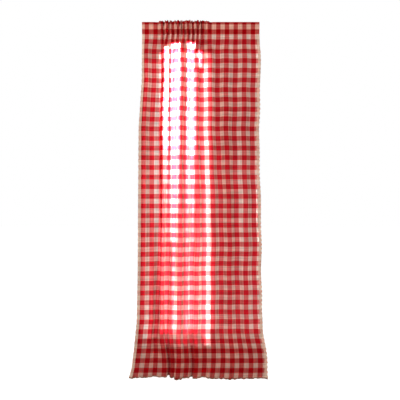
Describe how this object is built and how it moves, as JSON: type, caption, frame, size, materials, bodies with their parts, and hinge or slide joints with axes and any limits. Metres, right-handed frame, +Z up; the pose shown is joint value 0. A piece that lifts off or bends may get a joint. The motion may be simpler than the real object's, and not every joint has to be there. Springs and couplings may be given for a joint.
{
  "type": "semi-sheer gathered curtain panel",
  "caption": "Full-length semi-sheer gingham cotton gauze curtain panel, gathered in its middle on a sewn rod pocket, with narrow side hems and a narrow bottom hem.",
  "frame": {"origin": "middle of the heading, on the line where the cloth bears on its rod: the top of the pocket's channel", "axes": "+Z up the cloth, +X to the right along the heading as seen from the room, +Y away from the room"},
  "size_m": [0.9432, 0.1468, 2.4527],
  "materials": {
    "gauze": "matt open-weave cotton gauze, red and cream gingham, semi-sheer",
    "gauze_pocket": "the same cotton gauze, doubled at the rod pocket"
  },
  "bodies": {
    "root": {"panel": "gauze", "rod_pocket": "gauze_pocket"}
  },
  "joints": []
}
